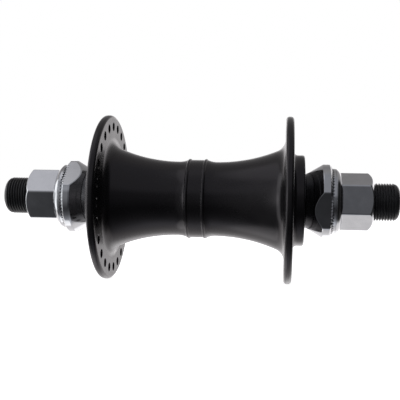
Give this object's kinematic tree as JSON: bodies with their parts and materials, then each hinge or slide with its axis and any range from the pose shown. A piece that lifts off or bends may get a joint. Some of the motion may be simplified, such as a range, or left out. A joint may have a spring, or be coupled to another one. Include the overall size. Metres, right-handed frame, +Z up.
{
  "type": "bicycle front hub",
  "caption": "Flanged front wheel hub for a small-wheeled bicycle: a black waisted shell turning on sealed bearings, threaded axle, chromed cone nuts, serrated washers and flanged axle nuts",
  "frame": {"origin": "on the axle line, midway between the two flanges and between the axle's ends", "axes": "X along the axle, the right-hand end at +X; Z up; Y to the back as seen in the picture"},
  "size_m": [0.1494, 0.0626, 0.0628],
  "materials": {
    "black_shell": "satin black anodised aluminium",
    "black_axle": "black oxide steel, threaded",
    "bearing_steel": "ground bearing steel",
    "ball_steel": "polished bearing balls",
    "cage_plastic": "moulded nylon",
    "black_cap": "satin black dust cap",
    "seal_rubber": "moulded rubber",
    "chromed_cone": "chromed steel",
    "chromed_washer": "chromed steel, serrated",
    "chromed_nut": "chromed steel"
  },
  "bodies": {
    "axle": {"axle": "black_axle", "bearing_inner_ring_left": "bearing_steel", "bearing_inner_ring_right": "bearing_steel", "cone_nut_left": "chromed_cone", "cone_nut_right": "chromed_cone"},
    "shell": {"hub_shell": "black_shell", "bearing_outer_ring_left": "bearing_steel", "bearing_outer_ring_right": "bearing_steel", "bearing_seal_left_inner": "seal_rubber", "bearing_seal_left_outer": "seal_rubber", "bearing_seal_right_inner": "seal_rubber", "bearing_seal_right_outer": "seal_rubber", "dust_cap_left": "black_cap", "dust_cap_right": "black_cap"},
    "cage_left": {"bearing_balls_left": "ball_steel", "ball_cage_left": "cage_plastic"},
    "washer_left": {"serrated_washer_left": "chromed_washer"},
    "nut_left": {"axle_nut_left": "chromed_nut"},
    "cage_right": {"bearing_balls_right": "ball_steel", "ball_cage_right": "cage_plastic"},
    "washer_right": {"serrated_washer_right": "chromed_washer"},
    "nut_right": {"axle_nut_right": "chromed_nut"}
  },
  "joints": [
    {"name": "shell_spin", "type": "hinge", "parent": "axle", "child": "shell", "pos_m": [0, 0, 0], "axis": [1, 0, 0], "continuous": true},
    {"name": "cage_left_spin", "type": "hinge", "parent": "axle", "child": "cage_left", "pos_m": [-0.035, 0, 0], "axis": [1, 0, 0], "continuous": true},
    {"name": "washer_left_slide", "type": "slide", "parent": "axle", "child": "washer_left", "axis": [-1, 0, 0], "range_m": [0, 0.022]},
    {"name": "nut_left_turn", "type": "hinge", "parent": "washer_left", "child": "nut_left", "pos_m": [-0.0585, 0, 0], "axis": [-1, 0, 0], "range_deg": [0, 7920]},
    {"name": "cage_right_spin", "type": "hinge", "parent": "axle", "child": "cage_right", "pos_m": [0.035, 0, 0], "axis": [1, 0, 0], "continuous": true},
    {"name": "washer_right_slide", "type": "slide", "parent": "axle", "child": "washer_right", "axis": [1, 0, 0], "range_m": [0, 0.022]},
    {"name": "nut_right_turn", "type": "hinge", "parent": "washer_right", "child": "nut_right", "pos_m": [0.0585, 0, 0], "axis": [1, 0, 0], "range_deg": [0, 7920]}
  ],
  "couplings": [
    {"joint": "cage_left_spin", "follows": "shell_spin", "ratio": 0.59302},
    {"joint": "nut_left_turn", "follows": "washer_left_slide", "rad_per_m": 6283.2},
    {"joint": "cage_right_spin", "follows": "shell_spin", "ratio": 0.59302},
    {"joint": "nut_right_turn", "follows": "washer_right_slide", "rad_per_m": 6283.2}
  ]
}
